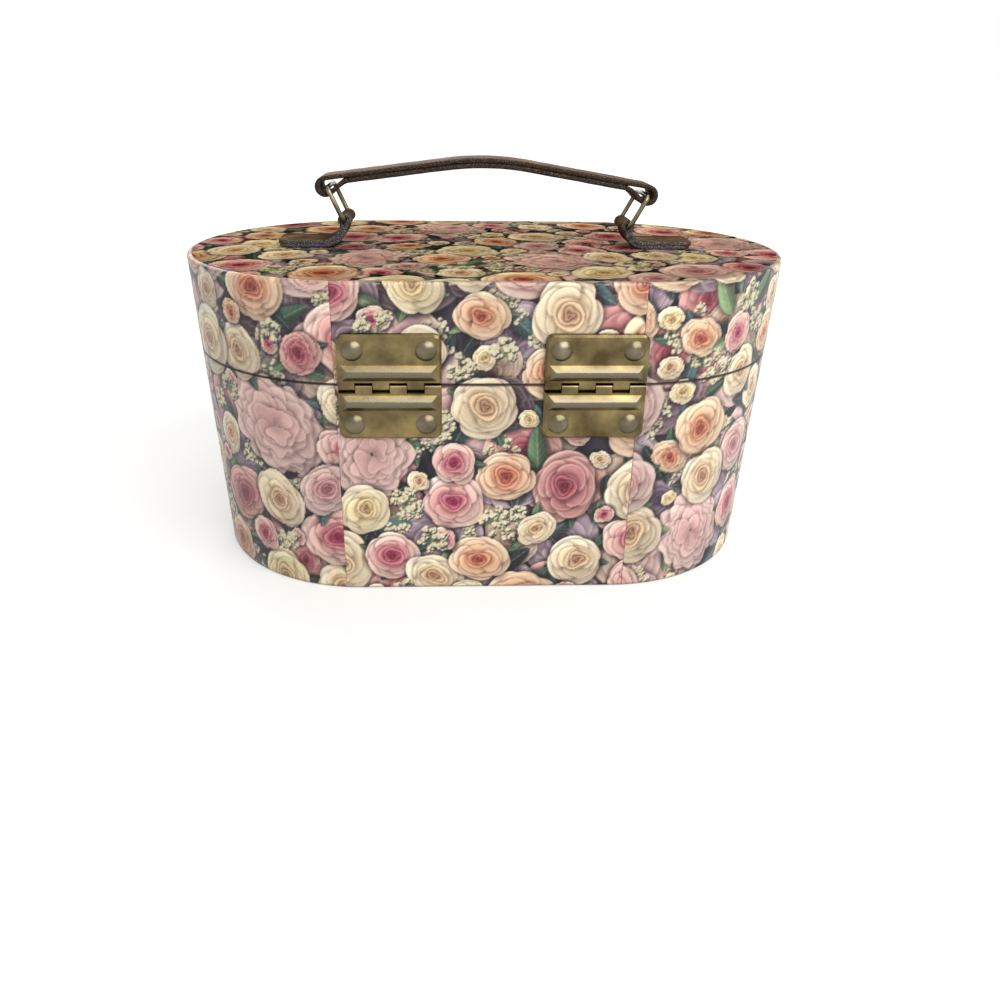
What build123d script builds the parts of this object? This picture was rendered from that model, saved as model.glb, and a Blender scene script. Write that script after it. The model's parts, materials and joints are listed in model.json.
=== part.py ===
from build123d import *
import os
from math import atan2, cos, degrees, radians, sin, tan

os.makedirs("parts", exist_ok=True)

# Case: an oval box of board, straight at front and back, round at the ends, wider at the lid
straight_length = 102.0
case_depth = 152.0
case_height = 130.0
lid_height = 39.3
wall_lean = 4.2
wall_thickness = 4.0
panel_thickness = 4.0
parting_gap = 0.3
rim_bevel = 1.0
foot_bevel = 0.8

# Hinges: each leaf is the same stamping, turned half round for the lower place
hinge_inset = 12.6
hinge_width = 38.5
pin_drop = 0.5
leaf_reach = 20.9
leaf_start = 1.5
nose_length = 0.65
nose_drop = 1.1
leaf_height = 2.6
leaf_sheet = 0.6
leaf_corner_radius = 3.0
leaf_edge_bevel = 0.8
ridge_end_margin = 1.6
ridge_inset = 2.9
ridge_width = 6.2
ridge_crest_width = 1.6
ridge_height = 1.8
ridge_crest_radius = 2.0
knuckle_count = 6
knuckle_radius = 1.2
knuckle_gap = 0.3
pin_radius = 0.6
pin_clearance = 0.05
pin_end_inset = 0.3

# Hinge rivets, peened inside, and tab rivets, clinched flat inside
hinge_rivet_across = 13.5
hinge_rivet_along = 14.8
hinge_head_radius = 4.0
hinge_head_height = 1.8
shank_radius = 1.8
peen_height = 0.8
clinch_radius = 2.6
clinch_height = 1.0
clinch_gap = 0.1
rivet_clearance = 0.1

# Leather tabs on the lid: a folded strip, flat outside, standing up to an eye inside
eye_outset = 9.5
left_eye_height = 12.0
right_eye_height = 10.0
tab_length = 28.5
tab_width = 18.0
tab_thickness = 3.8
tab_end_radius = 5.0
tab_stem = 0.6
eye_leather = 1.9
tab_rivet_inset = 10.0
tab_rivet_spacing = 9.0
tab_rivet_depth = 2.0

# Wire rings between the tabs and the strap
ring_span = 15.4
ring_width = 23.0
ring_bend = 1.8
wire_radius = 1.0
wire_clearance = 0.3
left_ring_angle = 24.6
right_ring_angle = 28.7

# Strap: an arched leather layer that turns round both rings, with a liner under it
strap_width = 18.0
strap_layer = 2.0
strap_slope = 8.6
crown_radius = 118.0
loop_inner_radius = 2.5
right_slack = 0.4
flap_turn = 34.0
flap_length = 7.6
liner_gap = 0.15
liner_end_inset = 10.5

# Front catch: a lock case on the base, a sliding bolt in it and a hasp with a hooked tongue on the lid,
# held by small rivets driven into the board
lock_width = 40.0
lock_drop = 2.5
lock_length = 20.0
lock_height = 4.6
lock_sheet = 0.8
lock_corner_radius = 2.5
lock_edge_bevel = 0.8
lock_rivet_across = 16.6
lock_rivet_along = 12.5
catch_head_radius = 2.4
catch_head_height = 1.2
catch_shank_radius = 1.2
catch_shank_depth = 3.2
hasp_width = 28.0
hasp_rise = 1.5
hasp_length = 15.0
hasp_height = 2.5
hasp_sheet = 1.2
hasp_corner_radius = 2.5
hasp_edge_bevel = 0.6
hasp_rivet_across = 9.0
hasp_rivet_along = 9.5
tongue_width = 9.0
tongue_length = 14.5
tongue_clearance = 1.0
hook_depth = 3.5
hook_play = 0.5
bolt_height = 4.0
bolt_length = 8.5
bolt_gap = 1.0
bolt_play = 0.3
bolt_middle = 9.0
bolt_travel = 4.2
stem_width = 2.4
button_width = 5.0
button_length = 7.0
button_thickness = 1.8
button_edge_radius = 0.6
grip_rib_count = 3
grip_rib_width = 0.6
grip_rib_height = 0.4

# Mirror glued inside the lid
mirror_end_gap = 12.0
mirror_depth = 78.0
mirror_thickness = 2.0
mirror_bevel = 1.0

# How far a cut runs past the face that it opens
overrun = 1.0

# Places worked out from the sizes above
lean = radians(wall_lean)
case_width = straight_length + case_depth
hinge_offset = straight_length / 2 - hinge_inset
eye_offset = straight_length / 2 + eye_outset
tab_end_offset = eye_offset + tab_length
tab_rivet_offset = tab_end_offset - tab_rivet_inset
mirror_width = 2 * (tab_rivet_offset - mirror_end_gap)
parting_z = case_height - lid_height
pin_z = parting_z - pin_drop
base_top_z = parting_z - parting_gap / 2
lid_bottom_z = parting_z + parting_gap / 2
lid_inside_z = case_height - panel_thickness
peened_tail = [(shank_radius, -wall_thickness * cos(lean) - peen_height)]
driven_tail = [(catch_shank_radius, -catch_shank_depth)]
pin_height = leaf_height - knuckle_radius
ridge_middle = ridge_inset + ridge_width / 2
ridge_length = hinge_width - 2 * ridge_end_margin
hinge_sides = {"left": -hinge_offset, "right": hinge_offset}
lock_rivet_points = [(-lock_rivet_across, -lock_rivet_along), (lock_rivet_across, -lock_rivet_along)]
hasp_rivet_points = [(-hasp_rivet_across, hasp_rivet_along), (hasp_rivet_across, hasp_rivet_along)]
leaf_rivet_points = [(-hinge_rivet_across, hinge_rivet_along), (hinge_rivet_across, hinge_rivet_along)]
tab_rivet_points = [
    (side * tab_rivet_offset, across * tab_rivet_spacing / 2) for side in (-1, 1) for across in (-1, 1)
]


def half_depth_at(z):
    return case_depth / 2 - (case_height - z) * tan(lean)


def half_width_at(z):
    return case_width / 2 - (case_height - z) * tan(lean)


def oval(z, inset):
    # The case's plan at one height, drawn inside its outer face
    with BuildSketch(Plane.XY.offset(z)) as plan:
        SlotOverall(2 * (half_width_at(z) - inset), 2 * (half_depth_at(z) - inset))
    return plan.sketch


def leaf_plane(hinge_x, up):
    # On the back wall just under the parting line: x along the wall, y away from the pin, z outwards
    return Plane(
        origin=(hinge_x, -half_depth_at(pin_z), pin_z),
        x_dir=(up, 0, 0),
        z_dir=(0, -cos(lean), -sin(lean)),
    )


# On the front wall at the parting line: y up the wall, z outwards
front_plane = Plane(
    origin=(0, half_depth_at(parting_z), parting_z),
    x_dir=(-1, 0, 0),
    z_dir=(0, cos(lean), -sin(lean)),
)


def export(part, name):
    part.label = name
    export_step(part, f"parts/{name}.step")


# Base: wall on a floor panel
with BuildPart() as base_floor:
    extrude(oval(0, 0), amount=panel_thickness, taper=-wall_lean)
    chamfer(base_floor.faces().sort_by(Axis.Z)[0].edges(), length=foot_bevel)
export(base_floor.part, "base_floor")

with BuildPart() as base_wall:
    extrude(oval(panel_thickness, 0), amount=base_top_z - panel_thickness, taper=-wall_lean)
    extrude(
        oval(panel_thickness, wall_thickness),
        amount=base_top_z - panel_thickness,
        taper=-wall_lean,
        mode=Mode.SUBTRACT,
    )
    for hinge_x in hinge_sides.values():
        with BuildSketch(leaf_plane(hinge_x, -1)):
            with Locations(*leaf_rivet_points):
                Circle(shank_radius + rivet_clearance)
        extrude(amount=wall_thickness + overrun, both=True, mode=Mode.SUBTRACT)
    with BuildSketch(front_plane):
        with Locations(*lock_rivet_points):
            Circle(catch_shank_radius + rivet_clearance)
    extrude(amount=-catch_shank_depth - rivet_clearance, mode=Mode.SUBTRACT)
export(base_wall.part, "base_wall")

# Lid: wall under a top panel with a bevelled rim
with BuildPart() as lid_wall:
    extrude(oval(lid_bottom_z, 0), amount=lid_inside_z - lid_bottom_z, taper=-wall_lean)
    extrude(
        oval(lid_bottom_z, wall_thickness),
        amount=lid_inside_z - lid_bottom_z,
        taper=-wall_lean,
        mode=Mode.SUBTRACT,
    )
    for hinge_x in hinge_sides.values():
        with BuildSketch(leaf_plane(hinge_x, 1)):
            with Locations(*leaf_rivet_points):
                Circle(shank_radius + rivet_clearance)
        extrude(amount=wall_thickness + overrun, both=True, mode=Mode.SUBTRACT)
    with BuildSketch(front_plane):
        with Locations(*hasp_rivet_points):
            Circle(catch_shank_radius + rivet_clearance)
    extrude(amount=-catch_shank_depth - rivet_clearance, mode=Mode.SUBTRACT)
export(lid_wall.part, "lid_wall")

with BuildPart() as lid_top:
    extrude(oval(lid_inside_z, 0), amount=panel_thickness, taper=-wall_lean)
    chamfer(lid_top.faces().sort_by(Axis.Z)[-1].edges(), length=rim_bevel)
    with BuildSketch(Plane.XY.offset(lid_inside_z)):
        with Locations(*tab_rivet_points):
            Circle(shank_radius + rivet_clearance)
    extrude(amount=panel_thickness + overrun, mode=Mode.SUBTRACT)
export(lid_top.part, "lid_top")

# Mirror: bevelled glass against the underside of the lid top
with BuildPart() as lid_mirror:
    with BuildSketch(Plane.XY.offset(lid_inside_z)):
        SlotOverall(mirror_width, mirror_depth)
    extrude(amount=-mirror_thickness)
    chamfer(lid_mirror.faces().sort_by(Axis.Z)[0].edges(), length=mirror_bevel)
export(lid_mirror.part, "lid_mirror")


def hinge_leaf(plane):
    # Sheet pan with its edges turned down, sloping at the nose, a pressed ridge, and rolled knuckles on
    # every other place
    pan_length = leaf_reach - leaf_start
    pan_middle = (leaf_reach + leaf_start) / 2
    hollow_length = pan_length - nose_length - leaf_sheet
    hollow_middle = pan_middle + (nose_length - leaf_sheet) / 2
    hollow_height = leaf_height - leaf_sheet
    ridge_flank = degrees(atan2((ridge_width - ridge_crest_width) / 2, ridge_height))
    knuckle_pitch = hinge_width / knuckle_count
    with BuildPart() as leaf:
        with BuildSketch(plane):
            with Locations((0, pan_middle)):
                pan = Rectangle(hinge_width, pan_length)
            fillet(pan.vertices().group_by(Axis.Y)[-1], radius=leaf_corner_radius)
        extrude(amount=leaf_height)
        rim = leaf.faces().sort_by(Axis(plane.origin, plane.z_dir))[-1].edges()
        chamfer(rim.sort_by(Axis(plane.origin, plane.y_dir))[1:], length=leaf_edge_bevel)
        leaf_face = leaf.faces().sort_by(Axis(plane.origin, plane.z_dir))[-1]
        nose = leaf_face.edges().sort_by(Axis(plane.origin, plane.y_dir))[0]
        chamfer(nose, length=nose_length, length2=nose_drop, reference=leaf_face)
        with BuildSketch(plane.offset(leaf_height)):
            with Locations((0, ridge_middle)):
                Rectangle(ridge_length, ridge_width)
        extrude(amount=ridge_height, taper=ridge_flank)
        crest = leaf.faces().sort_by(Axis(plane.origin, plane.z_dir))[-1]
        fillet(crest.edges(), radius=ridge_crest_radius)
        with BuildSketch(plane):
            with Locations((0, hollow_middle)):
                Rectangle(hinge_width - 2 * leaf_sheet, hollow_length)
        extrude(amount=hollow_height, mode=Mode.SUBTRACT)
        with BuildSketch(plane.offset(hollow_height)):
            with Locations((0, ridge_middle)):
                Rectangle(ridge_length - 2 * leaf_sheet, ridge_width - 2 * leaf_sheet)
        extrude(amount=ridge_height - leaf_sheet, taper=ridge_flank, mode=Mode.SUBTRACT)
        for place in range(0, knuckle_count, 2):
            knuckle_start = -hinge_width / 2 + place * knuckle_pitch + knuckle_gap / 2
            knuckle_length = knuckle_pitch - knuckle_gap
            with BuildSketch(plane.offset(hollow_height)):
                with Locations((knuckle_start, 0)):
                    Rectangle(knuckle_length, leaf_start + nose_length, align=(Align.MIN, Align.MIN))
            extrude(amount=leaf_sheet)
            roll_plane = Plane(
                origin=plane.from_local_coords((knuckle_start, 0, pin_height)),
                x_dir=plane.y_dir,
                z_dir=plane.x_dir,
            )
            with BuildSketch(roll_plane):
                Circle(knuckle_radius)
            extrude(amount=knuckle_length)
            with BuildSketch(roll_plane):
                Circle(pin_radius + pin_clearance)
            extrude(amount=knuckle_length, mode=Mode.SUBTRACT)
        with BuildSketch(plane):
            with Locations(*leaf_rivet_points):
                Circle(shank_radius + rivet_clearance)
        extrude(amount=leaf_height + ridge_height, mode=Mode.SUBTRACT)
    return leaf.part


def rivets(plane, points, seat, head, tail):
    # Domed heads on the seat; the tail is the shank's outline from there down, as radius and height
    head_radius, head_height = head
    with BuildPart() as group:
        for across, along in points:
            axis_plane = Plane(
                origin=plane.from_local_coords((across, along, 0)),
                x_dir=plane.x_dir,
                z_dir=-plane.y_dir,
            )
            with BuildSketch(axis_plane):
                with BuildLine():
                    dome_top = (0, seat + head_height)
                    dome_edge = (head_radius, seat)
                    dome_middle_angle = atan2(head_height, head_radius)
                    dome_radius = (head_radius**2 + head_height**2) / (2 * head_height)
                    dome_middle = (
                        dome_radius * sin(dome_middle_angle),
                        seat + head_height - dome_radius * (1 - cos(dome_middle_angle)),
                    )
                    ThreePointArc(dome_top, dome_middle, dome_edge)
                    Polyline(
                        dome_edge,
                        (tail[0][0], seat),
                        *tail,
                        (0, tail[-1][1]),
                        dome_top,
                    )
                make_face()
            revolve(axis=Axis(axis_plane.origin, axis_plane.y_dir))
    return group.part


# Hinges
for side, hinge_x in hinge_sides.items():
    for level, up in (("upper", 1), ("lower", -1)):
        place = leaf_plane(hinge_x, up)
        export(hinge_leaf(place), f"{side}_hinge_{level}_leaf")
        pair = rivets(
            place,
            leaf_rivet_points,
            leaf_height,
            (hinge_head_radius, hinge_head_height),
            peened_tail,
        )
        export(pair, f"{side}_hinge_{level}_rivets")

    pin_place = leaf_plane(hinge_x, 1)
    pin_length = hinge_width - 2 * pin_end_inset
    with BuildPart() as hinge_pin:
        pin_plane = Plane(
            origin=pin_place.from_local_coords((-pin_length / 2, 0, pin_height)),
            x_dir=pin_place.y_dir,
            z_dir=pin_place.x_dir,
        )
        with BuildSketch(pin_plane):
            Circle(pin_radius)
        extrude(amount=pin_length)
    export(hinge_pin.part, f"{side}_hinge_pin")


# Handle: the eyes, the rings that hang in them and the line between the rings' upper bars
def side_plane(side):
    # Upright lengthwise plane on the lid top, with x pointing out towards that end
    return Plane(origin=(0, 0, case_height), x_dir=(side, 0, 0), z_dir=(0, -side, 0))


def leather_tab(side, eye_height):
    bend_radius = eye_height - tab_thickness / 2 - tab_stem
    bend_start = (eye_offset + bend_radius, tab_thickness / 2)
    bend_end = (eye_offset, tab_thickness / 2 + bend_radius)
    with BuildPart() as tab:
        with BuildSketch(side_plane(side)):
            with BuildLine():
                flat = Line((tab_end_offset, tab_thickness / 2), bend_start)
                TangentArc(bend_start, bend_end, tangent=flat % 1)
                Line(bend_end, (eye_offset, eye_height))
            trace(line_width=tab_thickness)
            with Locations((eye_offset, eye_height)):
                Circle(wire_radius + wire_clearance + eye_leather)
                Circle(wire_radius + wire_clearance, mode=Mode.SUBTRACT)
        extrude(amount=tab_width / 2, both=True)
        end_corners = tab.edges().filter_by(Axis.Z).sort_by(Axis((0, 0, 0), (side, 0, 0)))[-2:]
        fillet(end_corners, radius=tab_end_radius)
        with BuildSketch(Plane.XY.offset(case_height)):
            with Locations(*tab_rivet_points):
                Circle(shank_radius + rivet_clearance)
        extrude(amount=tab_rivet_depth, mode=Mode.SUBTRACT)
    return tab.part


def tab_rivets(side):
    # Shanks from inside the leather down through the lid top, with flat clinched ends under it
    with BuildPart() as group:
        side_points = [point for point in tab_rivet_points if point[0] * side > 0]
        with BuildSketch(Plane.XY.offset(lid_inside_z - clinch_gap)):
            with Locations(*side_points):
                Circle(shank_radius)
        extrude(amount=panel_thickness + clinch_gap + tab_rivet_depth)
        with BuildSketch(Plane.XY.offset(lid_inside_z - clinch_gap)):
            with Locations(*side_points):
                Circle(clinch_radius)
        extrude(amount=-clinch_height)
    return group.part


def ring_bars(side, eye_height, ring_angle):
    # Centres of a ring's lower and upper bars in the upright plane, as x and z
    tilt = radians(ring_angle)
    lower = (side * eye_offset, case_height + eye_height)
    upper = (lower[0] + side * ring_span * sin(tilt), lower[1] + ring_span * cos(tilt))
    return lower, upper


def wire_ring(lower, upper):
    # Round wire bent to a rectangle, with each corner bent in two steps
    ring_plane = Plane(
        origin=(lower[0], 0, lower[1]),
        x_dir=(0, 1, 0),
        z_dir=Vector(0, 1, 0).cross(Vector(upper[0] - lower[0], 0, upper[1] - lower[1])),
    )
    half_bar = ring_width / 2 - ring_bend
    with BuildPart() as ring:
        with BuildLine(ring_plane) as loop:
            Polyline(
                (0, 0),
                (half_bar, 0),
                (ring_width / 2, ring_bend),
                (ring_width / 2, ring_span - ring_bend),
                (half_bar, ring_span),
                (-half_bar, ring_span),
                (-ring_width / 2, ring_span - ring_bend),
                (-ring_width / 2, ring_bend),
                (-half_bar, 0),
                close=True,
            )
        with BuildSketch(Plane(origin=loop.line @ 0, z_dir=loop.line % 0)):
            Circle(wire_radius)
        sweep(transition=Transition.RIGHT)
    return ring.part


left_lower, left_upper = ring_bars(-1, left_eye_height, left_ring_angle)
right_lower, right_upper = ring_bars(1, right_eye_height, right_ring_angle)
export(leather_tab(-1, left_eye_height), "left_handle_tab")
export(leather_tab(1, right_eye_height), "right_handle_tab")
export(tab_rivets(-1), "left_tab_rivets")
export(tab_rivets(1), "right_tab_rivets")
export(wire_ring(left_lower, left_upper), "left_handle_ring")
export(wire_ring(right_lower, right_upper), "right_handle_ring")

# Strap: drawn on the line between the two upper bars. It pushes the rings apart, so the left bar lies
# against the inner side of its loop, and the right loop has the slack that the swing needs
strap_run = Vector(right_upper[0] - left_upper[0], 0, right_upper[1] - left_upper[1])
left_slack = loop_inner_radius - wire_radius - wire_clearance
loop_x = (strap_run.length + left_slack + right_slack) / 2
left_loop = Vector(left_upper[0], 0, left_upper[1]) - strap_run.normalized() * left_slack
strap_plane = Plane(origin=left_loop + strap_run.normalized() * loop_x, x_dir=strap_run, z_dir=(0, -1, 0))
slope = radians(strap_slope)
loop_radius = loop_inner_radius + strap_layer / 2
touch_x = loop_x + loop_radius * sin(slope)
touch_y = loop_radius * cos(slope)
layer_radius = crown_radius - strap_layer / 2
crown_y = touch_y + (touch_x - layer_radius * sin(slope)) * tan(slope) - layer_radius * cos(slope)
loop_turn = 180 + flap_turn


def arch(radius, reach):
    # Half of a layer's middle line: the end of its crown arc, and the end of the straight run from there
    arc_end = (radius * sin(slope), crown_y + radius * cos(slope))
    return arc_end, (reach, arc_end[1] - (reach - arc_end[0]) * tan(slope))


with BuildPart() as handle_strap:
    arc_end, touch = arch(layer_radius, touch_x)
    with BuildSketch(strap_plane):
        with BuildLine():
            ThreePointArc((-arc_end[0], arc_end[1]), (0, crown_y + layer_radius), arc_end)
            for side in (-1, 1):
                Line((side * arc_end[0], arc_end[1]), (side * touch[0], touch[1]))
                turn = CenterArc((side * loop_x, 0), loop_radius, 90 - side * strap_slope, -side * loop_turn)
                Line(turn @ 1, turn @ 1 + (turn % 1) * flap_length)
        trace(line_width=strap_layer)
    extrude(amount=strap_width / 2, both=True)
export(handle_strap.part, "handle_strap")

with BuildPart() as handle_liner:
    liner_radius = layer_radius - strap_layer - liner_gap
    arc_end, run_end = arch(liner_radius, touch_x - liner_end_inset)
    with BuildSketch(strap_plane):
        with BuildLine():
            ThreePointArc((-arc_end[0], arc_end[1]), (0, crown_y + liner_radius), arc_end)
            for side in (-1, 1):
                Line((side * arc_end[0], arc_end[1]), (side * run_end[0], run_end[1]))
        trace(line_width=strap_layer)
    extrude(amount=strap_width / 2, both=True)
export(handle_liner.part, "handle_liner")

# Front catch: hasp with a hooked tongue, on the lid
tongue_low = -tongue_length
hook_top = -bolt_middle - bolt_height / 2 - hook_play
hasp_middle = hasp_rise + hasp_length / 2
hasp_hollow = hasp_height - hasp_sheet
with BuildPart() as hasp:
    with BuildSketch(front_plane):
        with Locations((0, hasp_middle)):
            plate = Rectangle(hasp_width, hasp_length)
        fillet(plate.vertices(), radius=hasp_corner_radius)
    extrude(amount=hasp_height)
    hasp_face = hasp.faces().sort_by(Axis(front_plane.origin, front_plane.z_dir))[-1]
    chamfer(hasp_face.edges(), length=hasp_edge_bevel)
    with BuildSketch(front_plane):
        with Locations((0, hasp_middle)):
            Rectangle(hasp_width - 2 * hasp_sheet, hasp_length - 2 * hasp_sheet)
    extrude(amount=hasp_hollow, mode=Mode.SUBTRACT)
    with BuildSketch(front_plane.offset(hasp_hollow)):
        with Locations((0, tongue_low)):
            Rectangle(tongue_width, hasp_middle + tongue_length, align=(Align.CENTER, Align.MIN))
        with Locations((tongue_width / 2, hook_top)):
            Rectangle(
                2 * hook_depth,
                hasp_rise - hook_top,
                align=(Align.CENTER, Align.MIN),
                mode=Mode.SUBTRACT,
            )
    extrude(amount=hasp_sheet)
    with BuildSketch(front_plane):
        with Locations(*hasp_rivet_points):
            Circle(catch_shank_radius + rivet_clearance)
    extrude(amount=hasp_height, mode=Mode.SUBTRACT)
export(hasp.part, "hasp")
hasp_rivets = rivets(
    front_plane,
    hasp_rivet_points,
    hasp_height,
    (catch_head_radius, catch_head_height),
    driven_tail,
)
export(hasp_rivets, "hasp_rivets")

# Lock case on the base: a pan with a mouth for the tongue and a slot for the button's stem
lock_middle = -lock_drop - lock_length / 2
lock_hollow = lock_height - lock_sheet
bolt_near = tongue_width / 2 + bolt_gap
button_x = bolt_near + bolt_length / 2
slot_length = bolt_travel + stem_width + 2 * bolt_play
mouth_width = tongue_width + 2 * tongue_clearance
with BuildPart() as lock_case:
    with BuildSketch(front_plane):
        with Locations((0, lock_middle)):
            shell = Rectangle(lock_width, lock_length)
        fillet(shell.vertices(), radius=lock_corner_radius)
    extrude(amount=lock_height)
    lock_face = lock_case.faces().sort_by(Axis(front_plane.origin, front_plane.z_dir))[-1]
    chamfer(lock_face.edges(), length=lock_edge_bevel)
    with BuildSketch(front_plane):
        with Locations((0, lock_middle)):
            Rectangle(lock_width - 2 * lock_sheet, lock_length - 2 * lock_sheet)
        with Locations((0, -lock_drop)):
            Rectangle(mouth_width, 2 * lock_corner_radius)
    extrude(amount=lock_hollow, mode=Mode.SUBTRACT)
    with BuildSketch(front_plane.offset(lock_hollow)):
        with Locations((button_x - bolt_travel / 2, -bolt_middle)):
            Rectangle(slot_length, stem_width + 2 * bolt_play)
        with Locations(*lock_rivet_points):
            Circle(catch_shank_radius + rivet_clearance)
    extrude(amount=lock_sheet, mode=Mode.SUBTRACT)
export(lock_case.part, "lock_case")
lock_rivets = rivets(
    front_plane,
    lock_rivet_points,
    lock_height,
    (catch_head_radius, catch_head_height),
    driven_tail,
)
export(lock_rivets, "lock_rivets")

# Sliding bolt: its bar slides in over the tongue's hook, its stem carries a ribbed button outside
bolt_low = hasp_hollow
bolt_shoulder = lock_hollow - bolt_play - bolt_low
button_low = lock_height + bolt_play
with BuildPart() as lock_bolt:
    with BuildSketch(front_plane.offset(bolt_low)):
        with Locations((button_x, -bolt_middle)):
            Rectangle(bolt_length, bolt_height)
    extrude(amount=hasp_sheet)
    with BuildSketch(front_plane.offset(bolt_low)):
        with Locations((button_x, -bolt_middle)):
            Rectangle(bolt_height, bolt_height)
    extrude(amount=bolt_shoulder)
    with BuildSketch(front_plane.offset(bolt_low)):
        with Locations((button_x, -bolt_middle)):
            Rectangle(stem_width, stem_width)
    extrude(amount=button_low - bolt_low)
    with BuildSketch(front_plane.offset(button_low)):
        with Locations((button_x, -bolt_middle)):
            Rectangle(button_width, button_length)
    extrude(amount=button_thickness)
    button_face = lock_bolt.faces().sort_by(Axis(front_plane.origin, front_plane.z_dir))[-1]
    fillet(button_face.edges(), radius=button_edge_radius)
    rib_pitch = button_width / (grip_rib_count + 1)
    with BuildSketch(front_plane.offset(button_low + button_thickness)):
        with Locations((button_x, -bolt_middle)):
            with GridLocations(rib_pitch, 0, grip_rib_count, 1):
                Rectangle(grip_rib_width, button_length - 2 * button_edge_radius - 2 * grip_rib_width)
    extrude(amount=grip_rib_height)
export(lock_bolt.part, "lock_bolt")
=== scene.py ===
import json
import math

import bpy
import numpy as np
from mathutils import Matrix, Vector


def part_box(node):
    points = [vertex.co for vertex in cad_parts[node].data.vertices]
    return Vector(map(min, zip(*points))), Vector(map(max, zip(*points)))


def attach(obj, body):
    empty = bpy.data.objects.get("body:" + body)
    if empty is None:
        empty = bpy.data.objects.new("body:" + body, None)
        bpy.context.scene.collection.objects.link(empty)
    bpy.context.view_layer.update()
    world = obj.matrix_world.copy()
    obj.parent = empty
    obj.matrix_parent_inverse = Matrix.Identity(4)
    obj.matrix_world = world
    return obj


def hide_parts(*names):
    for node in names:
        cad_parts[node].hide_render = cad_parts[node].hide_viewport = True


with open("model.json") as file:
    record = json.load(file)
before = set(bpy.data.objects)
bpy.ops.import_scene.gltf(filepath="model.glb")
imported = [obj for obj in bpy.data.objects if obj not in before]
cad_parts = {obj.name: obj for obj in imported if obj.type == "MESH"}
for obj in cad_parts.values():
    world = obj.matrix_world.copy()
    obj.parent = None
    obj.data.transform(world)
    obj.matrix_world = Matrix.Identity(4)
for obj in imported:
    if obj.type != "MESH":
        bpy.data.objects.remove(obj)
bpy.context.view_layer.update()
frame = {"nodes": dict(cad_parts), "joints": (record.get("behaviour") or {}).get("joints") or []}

TAU = 2 * math.pi
MM = 0.001

# Places read from the frame, in millimetres
case_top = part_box("lid_top")[1].z / MM
base_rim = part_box("base_wall")[1].z / MM
lid_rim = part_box("lid_wall")[0].z / MM
floor_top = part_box("base_floor")[1].z / MM
rim_half_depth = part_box("base_wall")[1].y / MM
floor_half_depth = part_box("base_floor")[1].y / MM
straight_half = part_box("base_wall")[1].x / MM - rim_half_depth
wall_slope = (rim_half_depth - floor_half_depth) / (base_rim - floor_top)
parting_line = (base_rim + lid_rim) / 2
# The hinge side's outward direction, and how far out that wall lies along it
wall_normal = Vector((0, -1, -wall_slope)).normalized()
wall_reach = wall_normal.dot(Vector((0, -rim_half_depth, base_rim)))
joint_places = {j["name"]: [x / MM for x in j["pos_m"]] for j in frame["joints"] if "pos_m" in j}
left_pivot, right_pivot = joint_places["left_ring_swing"], joint_places["right_ring_swing"]
left_bar = joint_places["handle_swing"]

# Paper: thin sheets glued round the walls, with upright seams, and one oval sheet on the lid
paper_thickness = 0.2
paper_glue = 0.02
seam_left, seam_right = -59.0, 55.5  # from the middle of the hinge side
front_seam = 57.0  # from the middle of the catch side
seam_lap, lap_width = 0.08, 1.5
rim_turn = 1.2
rim_border = 6.0
top_sheet_inset = 1.8
edge_curl = 0.12
rim_lip = 0.3 * (lid_rim - base_rim)
rim_ease, rim_ease_height, rim_plain = 0.04, 0.25, 0.5
cut_edge = 0.04
foot_curve = [(-0.35, 0.12), (0.0, 0.3), (paper_thickness - 0.05, 0.6)]  # as out and z
foot_plain = 1.0
hinge_side_step, other_step, lid_step = 0.42, 0.6, 0.8  # between mesh points, finest on the photo's side

# Leather strap and tabs, in the CAD's own sizes
leather_width = 18.0
strap_layer = 2.0
strap_slope = math.radians(8.6)
crown_radius = 118.0
loop_inner_radius = 2.5
right_slack = 0.4
wire_radius = 1.0
wire_clearance = 0.3
flap_turn = math.radians(34.0)
liner_gap = 0.15
flap_gap = 0.25
liner_end_inset = 10.5
tab_layer = 1.9
tab_stem = 0.6
tab_end_radius = 5.0
ring_width = 23.0
ring_corner_radius = 2.5
wire_sides = 18
right_ring_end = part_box("right_handle_ring")[1]
right_bar = [right_ring_end.x / MM - wire_radius, 0, right_ring_end.z / MM - wire_radius]


# Colour: sRGB hex to linear values
def srgb(code):
    return np.array([int(code[i:i + 2], 16) / 255 for i in (1, 3, 5)])


def linear(colour):
    colour = np.asarray(colour, float)
    return np.where(colour <= 0.04045, colour / 12.92, ((colour + 0.055) / 1.055) ** 2.4)


def paint(code):
    return (*linear(srgb(code)), 1.0)


def smooth(low, high, x):
    t = np.clip((x - low) / (high - low), 0, 1)
    return t * t * (3 - 2 * t)


def mix(a, b, share):
    return a + (b - a) * np.asarray(share)[..., None]


def cloud(u, v, size, seed):
    """Soft random field from 0 to 1 with blotches of about that size."""
    cells = 61
    lattice = np.random.default_rng(seed).random((cells, cells))
    x, y = u / size, v / size
    i, j = np.floor(x).astype(int), np.floor(y).astype(int)
    fx, fy = smooth(0, 1, x - i), smooth(0, 1, y - j)
    left, right, below, above = i % cells, (i + 1) % cells, j % cells, (j + 1) % cells
    low = lattice[left, below] * (1 - fx) + lattice[right, below] * fx
    high = lattice[left, above] * (1 - fx) + lattice[right, above] * fx
    return low * (1 - fy) + high * fy


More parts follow.
